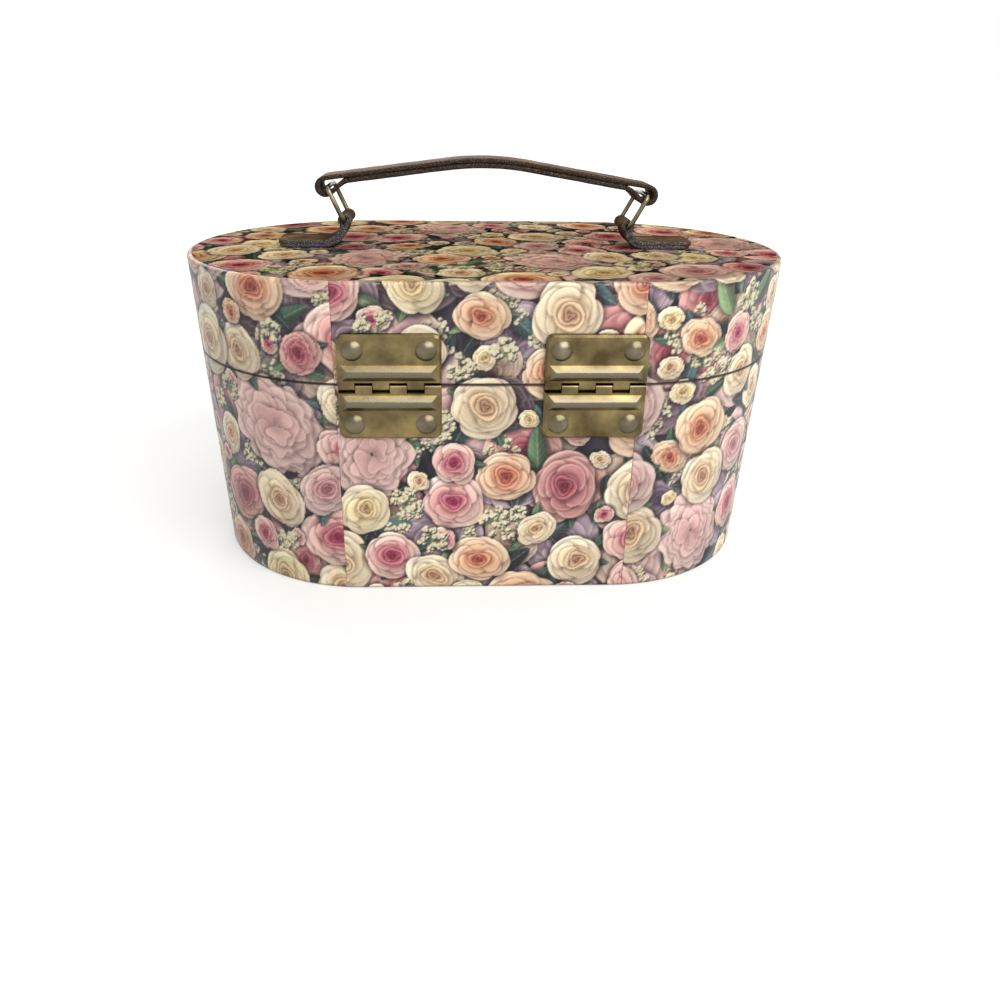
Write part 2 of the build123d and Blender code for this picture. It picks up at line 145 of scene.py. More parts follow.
# Printed paper: flowers drawn as fields of colour over the flat places of a sheet's mesh points
class Sheet:
    """A sheet being printed: the flat places of its mesh points, their colours and its own random draws."""

    def __init__(self, across, up, seed):
        self.across, self.up, self.rows = across, up, up[:, 0]
        self.rng = np.random.default_rng(seed)
        self.seed = seed
        self.colour = np.zeros(across.shape + (3,))

    def patch(self, u, v, reach):
        """The part of the sheet near a point: its index, and places from that point."""
        first, last = np.searchsorted(self.rows, (v - reach, v + reach))
        near = (np.abs(self.across[first:last] - u) < reach).any(0)
        columns = np.flatnonzero(near)
        if first == last or not len(columns):
            return None
        at = (slice(first, last), slice(columns[0], columns[-1] + 1))
        return at, self.across[at] - u, self.up[at] - v

    def cover(self, at, colour, share):
        self.colour[at] += (colour - self.colour[at]) * share[..., None]

    def darken(self, at, share, tint):
        self.colour[at] *= 1 - share[..., None] * (1 - tint)


# Shade between petals and light on their rims, then how the print and its paper have aged, with painted shade
# on the lid's top, on the paper's inner faces and along the parting line
shadow_tint, rim_light = srgb("#3C3444"), srgb("#F8F0E0")
wall_tint, wall_depth = srgb("#FFF9F7"), 1.32
# The lid's top is darker and yellower: partly age and dust, partly painted shade
top_age_and_shade_tint, top_age_and_shade_depth = srgb("#CEC4B4"), 1.5
print_fade = 0.14
# The paper's inner faces are near black: painted shade where they show in the gap at the parting line
bare_paper, shaded_paper_inside, sheet_back = srgb("#C8B499"), srgb("#2E2622"), 0.7
# Painted shade along the parting line, and darker towards the foot
parting_shade, foot_darkening = 0.75, 0.25
finest_line = 0.5  # millimetres, the thinnest that the sheets' meshes show whole
petal_power = 2.6  # how square a petal's outline is, where 2 is an ellipse

# Flower tones: outer petals, inner petals and heart
rose_tones = {
    "peach": ("#F0DCC0", "#E9BD9A", "#CC6A57"),
    "cream": ("#F1E8D0", "#E9DAB8", "#D9AC8C"),
    "pink": ("#EFD8CC", "#E2A8A8", "#BC4470"),
    "rose": ("#DDB4AE", "#CC8A90", "#A84A60"),
    "yellow": ("#F3EACB", "#EDDFB4", "#DDBD8C"),
    "blush": ("#E4CFCB", "#DFB9B8", "#CB8E96"),
    "lilac": ("#C2B4C0", "#AC9AAC", "#786680"),
    "mauve": ("#9E8C99", "#826E80", "#4E3E50"),
    "taupe": ("#CFC0B0", "#BDA796", "#8A7068"),
    "plum": ("#74626F", "#594858", "#332938"),
}
leaf_tones = [srgb(c) for c in ("#35504F", "#4C6E5C", "#6B8C6C", "#2E4046", "#8CA980", "#56757A")]

# Rings of petals from the outside in: how many, how far out, how long and how wide, in radii
petal_rings = [(5, 0.70, 0.36, 0.64), (5, 0.58, 0.31, 0.54), (4, 0.44, 0.25, 0.46)]
ruffled_rings = [
    (10, 0.76, 0.30, 0.38),
    (10, 0.62, 0.32, 0.34),
    (9, 0.48, 0.30, 0.30),
    (7, 0.34, 0.28, 0.28),
    (5, 0.20, 0.24, 0.24),
]


def rose(sheet, u, v, radius, tone, rings=petal_rings, squash=1.0, ruffle=0.05, contrast=1.0):
    """A flower seen from above: petals laid from the outside in, and for a rose a tight rolled heart."""
    found = sheet.patch(u, v, 1.4 * radius)
    if found is None:
        return
    at, x, y = found
    rng = sheet.rng
    turn = rng.uniform(0, TAU)
    light = (-x + 1.6 * y) / (1.9 * radius)
    x, y = (
        (math.cos(turn) * x + math.sin(turn) * y) / radius,
        (-math.sin(turn) * x + math.cos(turn) * y) / (radius * squash),
    )
    outer, inner, heart = (srgb(code) for code in rose_tones[tone])
    fold = mix(shadow_tint, heart, 0.5)
    sheet.darken(at, 0.7 * contrast * smooth(1.3, 0.8, np.hypot(x, y)), shadow_tint)
    for level, (count, place, length, width) in enumerate(rings):
        depth = level / len(rings)
        body = mix(outer, inner, smooth(0.0, 1.0, depth) * 0.9)
        start = rng.uniform(0, TAU)
        for petal in range(count):
            angle = start + TAU * (petal + rng.uniform(-0.25, 0.25)) / count
            size, push = rng.uniform(0.84, 1.16), rng.uniform(-0.06, 0.06)
            px, py = x - push * math.cos(angle + 1), y - push * math.sin(angle + 1)
            swing = (np.arctan2(py, px) - angle + math.pi) % TAU - math.pi
            across = swing * place / (width * size)
            tip = rng.uniform(0, 0.22) * (1 - np.minimum(np.abs(across), 1))
            along = (np.hypot(px, py) - place * rng.uniform(0.94, 1.06)) / (length * size) - tip
            wave = ruffle * np.sin(across * rng.uniform(4, 7) + rng.uniform(0, TAU))
            edge = (np.abs(along) ** petal_power + np.abs(across) ** petal_power) ** (1 / petal_power) + wave
            sheet.darken(at, rng.uniform(0.2, 0.42) * contrast * smooth(1.45, 0.9, edge), fold)
            deep = mix(body, inner, 0.55) * rng.uniform(0.72, 0.9)
            pale = body * rng.uniform(0.96, 1.08)
            colour = mix(deep, pale, smooth(-0.9, 0.6, along + rng.uniform(-0.35, 0.35) * across))
            rim = smooth(0.74, 0.97, edge) * smooth(0.0, 0.6, along)
            colour = mix(colour, rim_light, 0.42 * rim)
            colour = colour * (1 + 0.10 * light)[..., None]
            sheet.cover(at, np.clip(mix(body, colour, contrast), 0, 1), smooth(1.06, 0.95, edge))
    if rings is not ruffled_rings:
        bloom = rng.uniform(0.42, 0.54)
        off_x, off_y = rng.uniform(-0.07, 0.07, 2)
        bearing = np.arctan2(y - off_y, x - off_x)
        wave = 0.09 * np.sin(2 * bearing + rng.uniform(0, TAU))
        wave = wave + 0.06 * np.sin(3 * bearing + rng.uniform(0, TAU))
        far = np.hypot(x - off_x, y - off_y) / bloom * (1 + wave)
        turns = np.clip(radius * bloom / 1.9, 1.5, 3.2)
        drift = 0.22 * np.sin(3 * bearing + 5 * far + rng.uniform(0, TAU))
        lip = (far * turns + bearing / TAU + drift) % 1.0
        core = mix(heart * 0.82, mix(heart, inner, 0.75), smooth(0.05, 0.95, far))
        core = core * (1 + contrast * (0.34 * smooth(0, 0.6, lip) * smooth(1.0, 0.9, lip) - 0.24))[..., None]
        core = mix(core, rim_light, 0.22 * contrast * smooth(0.55, 0.85, lip) * smooth(0.15, 0.8, far))
        sheet.darken(at, 0.3 * contrast * smooth(1.3, 0.95, far), fold)
        sheet.cover(at, np.clip(core, 0, 1), smooth(1.1, 0.86, far))


def leaf(sheet, u, v, length, angle, tone):
    """A pointed leaf with a pale midrib and side veins."""
    found = sheet.patch(u, v, length)
    if found is None:
        return
    at, x, y = found
    along = (math.cos(angle) * x + math.sin(angle) * y) / length
    half_width = 0.38 * length
    across = (-math.sin(angle) * x + math.cos(angle) * y) / half_width
    outline = np.clip(1 - along**2, 0, 1) ** 0.75 * (1 - 0.3 * along)
    edge = np.abs(across) / np.maximum(outline, 0.02)
    sheet.darken(at, 0.5 * smooth(1.9, 0.9, edge), shadow_tint)
    veins = 0.5 + 0.5 * np.sin(22 * (along - 0.5 * np.abs(across)))
    midrib = max(0.12, finest_line / half_width)
    colour = mix(tone * 0.7, np.minimum(tone * 1.2, 1), smooth(-0.9, 0.9, across))
    colour = mix(colour, rim_light, 0.10 * veins + 0.28 * smooth(midrib, 0.02, np.abs(across)))
    sheet.cover(at, colour, smooth(1.15, 0.85, edge))


def dot(sheet, u, v, radius, colour):
    """A small round spot with a soft edge."""
    found = sheet.patch(u, v, 1.6 * radius)
    if found is not None:
        at, x, y = found
        sheet.cover(at, colour, smooth(1.25, 0.65, np.hypot(x, y) / radius))


def stroke(sheet, start, end, width, colour, strength=1.0):
    """A thin straight line between two points of the sheet."""
    (u0, v0), (u1, v1) = start, end
    length = math.hypot(u1 - u0, v1 - v0)
    found = sheet.patch((u0 + u1) / 2, (v0 + v1) / 2, length / 2 + width)
    if found is None:
        return
    at, x, y = found
    du, dv = (u1 - u0) / length, (v1 - v0) / length
    along = np.clip(x * du + y * dv, -length / 2, length / 2)
    away = np.hypot(x - along * du, y - along * dv)
    sheet.cover(at, colour, strength * smooth(width, 0.3 * width, away))


def lace(sheet, u, v, reach):
    """A spray of tiny white flowers: stalks from one point, each with a head of dots."""
    rng = sheet.rng
    stalk, blossom, core = srgb("#7D9A72"), srgb("#F0ECD6"), srgb("#CFCB98")
    heads = [(rng.uniform(0, TAU), reach * math.sqrt(rng.uniform(0.05, 1))) for _ in range(13)]
    for angle, far in heads:
        end = (u + far * math.cos(angle), v + far * math.sin(angle))
        stroke(sheet, (u, v - 0.4 * reach), end, 0.5, stalk, 0.8)
    for angle, far in heads:
        for _ in range(12):
            spread, side = 0.24 * reach * math.sqrt(rng.random()), rng.uniform(0, TAU)
            place_u = u + far * math.cos(angle) + spread * math.cos(side)
            place_v = v + far * math.sin(angle) + spread * math.sin(side)
            size = rng.uniform(0.55, 0.95)
            dot(sheet, place_u + 0.25, place_v - 0.4, size, srgb("#4E5054"))
            dot(sheet, place_u, place_v, size, mix(blossom, core, rng.random() * 0.5))


def spaced(rng, low, high, sizes, closeness, taken):
    """Places for flowers of these radii, apart from each other and from those already taken."""
    found = []
    for radius in sizes:
        for _ in range(60):
            u, v = rng.uniform(low[0], high[0]), rng.uniform(low[1], high[1])
            if all(math.hypot(u - a, v - b) > closeness * (radius + r) for a, b, r in taken + found):
                found.append((u, v, radius))
                break
    return found


# Square millimetres of sheet to each flower, leaf or spray of lace
room = {"far": 300, "leaf": 300, "lace": 1300, "bloom": 9500, "near": 600, "bud": 900, "spray": 1500}


def print_flowers(sheet, warmth, depth):
    """The whole print of one sheet: dark ground, soft far flowers, leaves and lace, then the near roses."""
    rng = sheet.rng
    u, v = sheet.across, sheet.up
    low, high = (u.min() - 6, v.min() - 6), (u.max() + 6, v.max() + 6)
    area = (high[0] - low[0]) * (high[1] - low[1])
    ground = mix(srgb("#1E2432"), srgb("#54475C"), smooth(0.35, 0.8, cloud(u, v, 14, sheet.seed)))
    sheet.colour[:] = mix(ground, srgb("#8D7A8A"), 0.5 * smooth(0.55, 0.95, cloud(u, v, 7, sheet.seed + 1)))
    far_tones = ["lilac", "mauve", "blush", "taupe", "plum", "mauve", "blush", "lilac", "rose"]
    for x, y, radius in spaced(rng, low, high, rng.uniform(10, 21, int(area / room["far"])), 0.62, []):
        rose(sheet, x, y, radius, rng.choice(far_tones), squash=rng.uniform(0.62, 1), contrast=0.72)
    for x, y, length in spaced(rng, low, high, rng.uniform(5, 10, int(area / room["leaf"])), 0.8, []):
        leaf(sheet, x, y, length, rng.uniform(0, TAU), leaf_tones[rng.integers(len(leaf_tones))])
    for x, y, reach in spaced(rng, low, high, rng.uniform(8, 12, int(area / room["lace"])), 1.0, []):
        lace(sheet, x, y, reach)
    blooms = spaced(rng, low, high, rng.uniform(17, 23, max(1, int(area / room["bloom"]))), 1.3, [])
    for x, y, radius in blooms:
        rose(sheet, x, y, radius, "blush", ruffled_rings, rng.uniform(0.7, 0.9), 0.2, 0.9)
    near = spaced(rng, low, high, rng.uniform(7.5, 14.5, int(area / room["near"])), 0.8, blooms)
    tones = ["peach", "cream", "pink", "cream", "pink", "peach", "yellow", "blush", "peach", "cream", "rose"]
    for x, y, radius in near:
        angle = rng.uniform(0, TAU)
        for side in (0, rng.uniform(1.5, 4)):
            edge = 0.95 * radius
            leaf(
                sheet,
                x + edge * math.cos(angle + side),
                y + edge * math.sin(angle + side),
                rng.uniform(4, 7),
                angle + side,
                leaf_tones[rng.integers(len(leaf_tones))],
            )
        rose(sheet, x, y, radius, rng.choice(tones), squash=rng.uniform(0.74, 1))
    buds = spaced(rng, low, high, rng.uniform(4, 7, int(area / room["bud"])), 0.9, blooms + near)
    for x, y, radius in buds:
        rose(sheet, x, y, radius, rng.choice(["peach", "pink", "cream", "yellow"]), petal_rings[1:], 0.85)
    sprays = spaced(rng, low, high, rng.uniform(4, 7, int(area / room["spray"])), 0.9, blooms + near)
    for x, y, reach in sprays:
        lace(sheet, x, y, reach)
    stains, flecks = cloud(u, v, 30, sheet.seed + 2), cloud(u, v, 2.2, sheet.seed + 3)
    age = 1 + 0.10 * (stains - 0.5) + 0.06 * (flecks - 0.5)
    faded = mix(sheet.colour, sheet.colour.mean(-1, keepdims=True), print_fade)
    sheet.colour[:] = np.clip(faded**depth * warmth * age[..., None], 0, 1)


# Mesh building: every made piece is a row of rings joined by quads
def loft(name, rings, closed=False):
    """A smooth closed mesh through rings of points in millimetres, with flat ends unless it is a loop."""
    rows, points = rings.shape[:2]
    row = np.arange(rows if closed else rows - 1)[:, None]
    point = np.arange(points)[None, :]
    after, beside = (row + 1) % rows, (point + 1) % points
    corner = [row * points + point, after * points + point, after * points + beside, row * points + beside]
    quads = np.stack(corner, -1).reshape(-1, 4)
    caps = [] if closed else [np.arange(points), np.arange(points)[::-1] + (rows - 1) * points]
    corners = np.concatenate([quads.ravel(), *caps])
    starts = [np.arange(len(quads)) * 4]
    for cap in range(len(caps)):
        starts.append([quads.size + cap * points])
    mesh = bpy.data.meshes.new(name)
    mesh.vertices.add(rows * points)
    mesh.vertices.foreach_set("co", (rings * MM).astype(np.float32).ravel())
    mesh.loops.add(len(corners))
    mesh.loops.foreach_set("vertex_index", corners.astype(np.int32))
    mesh.polygons.add(len(quads) + len(caps))
    mesh.polygons.foreach_set("loop_start", np.concatenate(starts).astype(np.int32))
    mesh.polygons.foreach_set("use_smooth", np.arange(len(quads) + len(caps)) < len(quads))
    mesh.update(calc_edges=True)
    flat = np.zeros((len(corners), 2), np.float32)
    row, point = np.broadcast_arrays(row, point)
    along = np.stack([row, row + 1, row + 1, row], -1)
    around = np.stack([point, point, point + 1, point + 1], -1)
    flat[:quads.size, 0] = along.reshape(-1) / rows
    flat[:quads.size, 1] = around.reshape(-1) / points
    mesh.uv_layers.new(name="OFBake").uv.foreach_set("vector", flat.ravel())
    piece = bpy.data.objects.new(name, mesh)
    bpy.context.scene.collection.objects.link(piece)
    return piece


def colour_points(piece, colours):
    """Lay sRGB colours on a piece's mesh points, where the paper's material reads them."""
    layer = piece.data.attributes.new("print", "FLOAT_COLOR", "POINT")
    values = np.ones((len(piece.data.vertices), 4), np.float32)
    values[:, :3] = linear(colours.reshape(-1, 3))
    layer.data.foreach_set("color", values.ravel())


# Materials: one helper adds a node with its settings, colour stops and links
def node(tree, kind, links=(), stops=(), **settings):
    made = tree.nodes.new(kind)
    for key, value in settings.items():
        if hasattr(made, key):
            setattr(made, key, value)
        else:
            made.inputs[key.replace("_", " ")].default_value = value
    while stops and len(made.color_ramp.elements) < len(stops):
        made.color_ramp.elements.new(1.0)
    for index, (place, code) in enumerate(stops):
        made.color_ramp.elements[index].position = place
        made.color_ramp.elements[index].color = paint(code)
    for socket, source in links:
        tree.links.new(source, made.inputs[socket])
    return made


def new_material(name):
    """An empty node material: its tree, its shader, and places on the surface in metres."""
    material = bpy.data.materials.new(name)
    material.use_nodes = True
    tree = material.node_tree
    place = node(tree, "ShaderNodeTexCoord").outputs["Object"]
    return material, tree, tree.nodes["Principled BSDF"], place


def per_mm(size):
    """Texture scale that gives features of that many millimetres."""
    return 1 / (size * MM)


def varnished_paper(name, coat, shine):
    """Litho-printed paper under old clear varnish: soft colours, fine tooth, and an uneven gloss or none."""
    material, tree, shader, place = new_material(name)
    tooth_mm, blotch_mm, crease_mm = 0.6, 18.0, 5.0
    printed = node(tree, "ShaderNodeAttribute", attribute_name="print")
    tooth = node(tree, "ShaderNodeTexNoise", [("Vector", place)], Scale=per_mm(tooth_mm), Detail=2.0)
    blotch = node(tree, "ShaderNodeTexNoise", [("Vector", place)], Scale=per_mm(blotch_mm), Detail=3.0)
    crease = node(tree, "ShaderNodeTexNoise", [("Vector", place)], Scale=per_mm(crease_mm), Detail=4.0)
    grain = node(
        tree,
        "ShaderNodeValToRGB",
        [("Fac", tooth.outputs["Fac"])],
        [(0.25, "#DFD6C8"), (0.75, "#FFFFFF")],
    )
    toned = node(
        tree,
        "ShaderNodeMix",
        [("A", printed.outputs["Color"]), ("B", grain.outputs["Color"])],
        data_type="RGBA",
        blend_type="MULTIPLY",
        Factor=0.55,
    )
    gloss = node(tree, "ShaderNodeMapRange", [("Value", blotch.outputs["Fac"])], To_Min=0.34, To_Max=0.52)
    fine = node(tree, "ShaderNodeBump", [("Height", tooth.outputs["Fac"])], Strength=0.12, Distance=0.0001)
    relief = node(
        tree,
        "ShaderNodeBump",
        [("Height", crease.outputs["Fac"]), ("Normal", fine.outputs["Normal"])],
        Strength=0.25,
        Distance=0.0004,
    )
    tree.links.new(toned.outputs["Result"], shader.inputs["Base Color"])
    tree.links.new(gloss.outputs["Result"], shader.inputs["Roughness"])
    tree.links.new(relief.outputs["Normal"], shader.inputs["Normal"])
    shader.inputs["IOR"].default_value = 1.48
    shader.inputs["Specular IOR Level"].default_value = shine
    shader.inputs["Coat Weight"].default_value = coat
    shader.inputs["Coat Roughness"].default_value = 0.18
    return material


def antique_metal(name, dark, middle, bright, roughness, wear_and_sheen=None):
    """Old metal gone dull: patina in soft blotches, black grime and painted shade in the corners from an
    occlusion node, and fine pitting.

    Where given, raised parts go to one tone between two heights over the hinge side's wall: partly wear,
    partly a painted reflection.
    """
    material, tree, shader, place = new_material(name)
    stain_mm, pit_mm, occlusion_mm = 11.0, 0.7, 1.6
    stain = node(tree, "ShaderNodeTexNoise", [("Vector", place)], Scale=per_mm(stain_mm), Detail=5.0)
    pit = node(tree, "ShaderNodeTexNoise", [("Vector", place)], Scale=per_mm(pit_mm), Detail=3.0)
    # Corners and hollows darken by occlusion: black grime and painted shade
    nook = node(tree, "ShaderNodeAmbientOcclusion", samples=8, Distance=occlusion_mm * MM)
    patina = node(
        tree,
        "ShaderNodeValToRGB",
        [("Fac", stain.outputs["Fac"])],
        [(0.32, dark), (0.52, middle), (0.72, bright)],
    )
    darkening = node(
        tree,
        "ShaderNodeValToRGB",
        [("Fac", nook.outputs["AO"])],
        [(0.25, "#2E2618"), (0.62, "#A89C84"), (0.9, "#FFFFFF")],
    )
    metal = patina.outputs["Color"]
    # Raised parts take the ridge tone: partly wear, partly a painted reflection
    if wear_and_sheen:
        tone, low, high = wear_and_sheen
        height = node(tree, "ShaderNodeVectorMath", [(0, place)], operation="DOT_PRODUCT")
        height.inputs[1].default_value = wall_normal
        crest = node(
            tree,
            "ShaderNodeMapRange",
            [("Value", height.outputs["Value"])],
            From_Min=(wall_reach + low) * MM,
            From_Max=(wall_reach + high) * MM,
        )
        metal = node(
            tree,
            "ShaderNodeMix",
            [("Factor", crest.outputs["Result"]), ("A", metal)],
            data_type="RGBA",
            B=paint(tone),
        ).outputs["Result"]
    # Darkened by occlusion: grime and painted shade
    darkened = node(
        tree,
        "ShaderNodeMix",
        [("A", metal), ("B", darkening.outputs["Color"])],
        data_type="RGBA",
        blend_type="MULTIPLY",
        Factor=0.9,
    )
    dull = node(
        tree,
        "ShaderNodeMapRange",
        [("Value", stain.outputs["Fac"])],
        To_Min=roughness - 0.06,
        To_Max=roughness + 0.08,
    )
    pits = node(tree, "ShaderNodeBump", [("Height", pit.outputs["Fac"])], Strength=0.16, Distance=0.0001)
    tree.links.new(darkened.outputs["Result"], shader.inputs["Base Color"])
    tree.links.new(dull.outputs["Result"], shader.inputs["Roughness"])
    tree.links.new(pits.outputs["Normal"], shader.inputs["Normal"])
    shader.inputs["Metallic"].default_value = 1.0
    return material


def strap_leather(name, face_tones, edge_tones, shine):
    """Vegetable-tanned strap leather: smeared brown grain side with pores, and rough cut edges with specks."""
    material, tree, shader, place = new_material(name)
    grain_mm, smear_mm, fibre_mm, edge_mm = 0.9, 9.0, 0.5, (8.1, 8.8)
    grain = node(tree, "ShaderNodeTexVoronoi", [("Vector", place)], Scale=per_mm(grain_mm))
    smear = node(tree, "ShaderNodeTexNoise", [("Vector", place)], Scale=per_mm(smear_mm), Detail=5.0)
    fibre = node(tree, "ShaderNodeTexNoise", [("Vector", place)], Scale=per_mm(fibre_mm), Detail=2.0)
    split = node(tree, "ShaderNodeSeparateXYZ", [("Vector", place)])
    side = node(tree, "ShaderNodeMath", [(0, split.outputs["Y"])], operation="ABSOLUTE")
    near_edge = node(
        tree,
        "ShaderNodeMapRange",
        [("Value", side.outputs["Value"])],
        From_Min=edge_mm[0] * MM,
        From_Max=edge_mm[1] * MM,
    )
    face = node(
        tree,
        "ShaderNodeValToRGB",
        [("Fac", smear.outputs["Fac"])],
        list(zip((0.3, 0.5, 0.72), face_tones)),
    )
    cut = node(
        tree,
        "ShaderNodeValToRGB",
        [("Fac", fibre.outputs["Fac"])],
        list(zip((0.36, 0.56, 0.72), edge_tones)),
    )
    tone = node(
        tree,
        "ShaderNodeMix",
        [("Factor", near_edge.outputs["Result"]), ("A", face.outputs["Color"]), ("B", cut.outputs["Color"])],
        data_type="RGBA",
    )
    sheen = node(tree, "ShaderNodeMapRange", [("Value", smear.outputs["Fac"])], To_Min=0.55, To_Max=0.78)
    pores = node(
        tree,
        "ShaderNodeBump",
        [("Height", grain.outputs["Distance"])],
        Strength=0.35,
        Distance=0.0002,
    )
    rough = node(
        tree,
        "ShaderNodeBump",
        [("Height", fibre.outputs["Fac"]), ("Normal", pores.outputs["Normal"])],
        Strength=0.3,
        Distance=0.0002,
    )
    tree.links.new(tone.outputs["Result"], shader.inputs["Base Color"])
    tree.links.new(sheen.outputs["Result"], shader.inputs["Roughness"])
    tree.links.new(rough.outputs["Normal"], shader.inputs["Normal"])
    shader.inputs["Specular IOR Level"].default_value = shine
    return material


def lining_paper():
    """Plain laid lining paper over board: warm off-white, matt, with faint fibres and handling marks."""
    material, tree, shader, place = new_material("plain_lining_paper")
    fibre_mm, mark_mm = 1.4, 25.0
    fibre = node(tree, "ShaderNodeTexNoise", [("Vector", place)], Scale=per_mm(fibre_mm), Detail=4.0)
    mark = node(tree, "ShaderNodeTexNoise", [("Vector", place)], Scale=per_mm(mark_mm), Detail=4.0)
    tone = node(
        tree,
        "ShaderNodeValToRGB",
        [("Fac", mark.outputs["Fac"])],
        [(0.3, "#AE9A8A"), (0.55, "#BAA695"), (0.75, "#C4B2A1")],
    )
    tooth = node(tree, "ShaderNodeBump", [("Height", fibre.outputs["Fac"])], Strength=0.3, Distance=0.0002)
    tree.links.new(tone.outputs["Color"], shader.inputs["Base Color"])
    tree.links.new(tooth.outputs["Normal"], shader.inputs["Normal"])
    shader.inputs["Roughness"].default_value = 0.85
    return material


def mirror_glass():
    """Silvered glass: a sharp, slightly green reflection with a few dull spots of age."""
    material, tree, shader, place = new_material("silvered_mirror_glass")
    spot_mm = 6.0
    spots = node(tree, "ShaderNodeTexNoise", [("Vector", place)], Scale=per_mm(spot_mm), Detail=5.0)
    tone = node(
        tree,
        "ShaderNodeValToRGB",
        [("Fac", spots.outputs["Fac"])],
        [(0.62, "#E4EAE6"), (0.72, "#C4CBC4")],
    )
    blur = node(tree, "ShaderNodeMapRange", [("Value", spots.outputs["Fac"])], To_Min=0.0, To_Max=0.1)
    tree.links.new(tone.outputs["Color"], shader.inputs["Base Color"])
    tree.links.new(blur.outputs["Result"], shader.inputs["Roughness"])
    shader.inputs["Metallic"].default_value = 1.0
    return material


# The walls keep a thin gloss, and the lid's sheet has lost it to dust
paper = varnished_paper("varnished_print_paper", coat=0.10, shine=0.3)
dusty_paper = varnished_paper("dusty_print_paper", coat=0.0, shine=0.0)

# Pressed sheet brass is olive brown, greyer on the hinges' ridges from wear and a painted reflection; rivets
# and wire are rubbed paler
hinge_ridges = ("#726A5A", 2.9, 4.3)  # tone, and the two heights in millimetres
brass = antique_metal("antique_brass_sheet", "#55482E", "#6E603F", "#84744C", 0.28)
hinge_brass = antique_metal("worn_and_sheened_brass_hinge", "#52462E", "#746646", "#968458", 0.26, hinge_ridges)
rivet_brass = antique_metal("rubbed_brass_rivets", "#544C3A", "#6C634F", "#857C68", 0.3)
wire_brass = antique_metal("drawn_brass_wire", "#5A523E", "#787058", "#9C9274", 0.2)
steel = antique_metal("drawn_steel_pin", "#5A5A58", "#80807C", "#A0A09A", 0.35)

# The strap is dark from hands, with brown edges; the tabs are matt, with edges worn grey
leather = strap_leather(
    "worn_strap_leather",
    face_tones=("#34251A", "#533D2A", "#785C40"),
    edge_tones=("#1C1613", "#3A2F28", "#74675A"),
    shine=0.08,
)
tab_leather = strap_leather(
    "rubbed_tab_leather",
    face_tones=("#38291E", "#584534", "#7A664C"),
    edge_tones=("#2B2828", "#575253", "#8E8886"),
    shine=0.0,
)
lining = lining_paper()
mirror = mirror_glass()


def finish_piece(piece, material, body, slot, *replaced):
    """Give a made piece its material and its body, and hide the CAD nodes it stands for. The slot it is passed
    is not used.
    """
    piece.data.materials.append(material)
    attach(piece, body)
    if replaced:
        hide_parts(*replaced)


# Wall paper: places round the case, from the middle of the back towards its right end
half_turn = math.pi * rim_half_depth
girth = 4 * straight_half + 2 * half_turn


def wall_half_depth(z):
    return floor_half_depth + (z - floor_top) * wall_slope


def wall_place(s, z, out):
    """A point near the wall: s along it, z up, and out from its outer face."""
    s = np.mod(s + straight_half + half_turn, girth) - straight_half - half_turn
    r = wall_half_depth(np.minimum(z, case_top)) + out
    turned = np.clip(s - straight_half, 0, half_turn) / rim_half_depth
    turned_left = np.clip(-s - straight_half, 0, half_turn) / rim_half_depth
    beyond = np.clip(s - straight_half - half_turn, 0, 2 * straight_half)
    x = np.clip(s, -straight_half, straight_half) - beyond + r * (np.sin(turned) - np.sin(turned_left))
    y = -r * np.cos(np.maximum(turned, turned_left))
    return np.stack(np.broadcast_arrays(x, y, z), -1)


def base_profile(step):
    """Outer side of the base's paper from foot to rim, then back down inside, as out and z."""
    face = np.arange(foot_plain, base_rim - rim_plain, step)
    outer = foot_curve + [(paper_thickness, z) for z in face]
    outer.append((paper_thickness - rim_ease, base_rim - rim_ease_height))
    outer.append((paper_thickness - edge_curl, base_rim + rim_lip))
    inner = [(paper_glue, base_rim + rim_lip - cut_edge), (paper_glue, foot_plain)]
    return np.array(outer), np.array(inner)


def lid_profile(step):
    """Outer side of the lid's paper from rim to top, over the bevel and a border on top, then back inside."""
    face = np.arange(lid_rim + rim_plain, case_top - rim_turn, step)
    outer = [(paper_thickness - edge_curl, lid_rim - rim_lip)]
    outer.append((paper_thickness - rim_ease, lid_rim + rim_ease_height))
    outer += [(paper_thickness, z) for z in face]
    turn_start, turn_rows = 0.2, 5
    for angle in np.linspace(turn_start, math.pi / 2, turn_rows):
        out = paper_thickness - rim_turn * (1 - math.cos(angle))
        outer.append((out, case_top - rim_turn + (rim_turn + paper_thickness) * math.sin(angle)))
    inset = np.arange(rim_turn + step, rim_border, step)
    outer += [(-x, case_top + paper_thickness) for x in inset]
    inner = [(-inset[-1], case_top + paper_glue), (-rim_turn, case_top + paper_glue)]
    inner += [(paper_glue, case_top - rim_turn), (paper_glue, lid_rim - rim_lip + cut_edge)]
    return np.array(outer), np.array(inner)


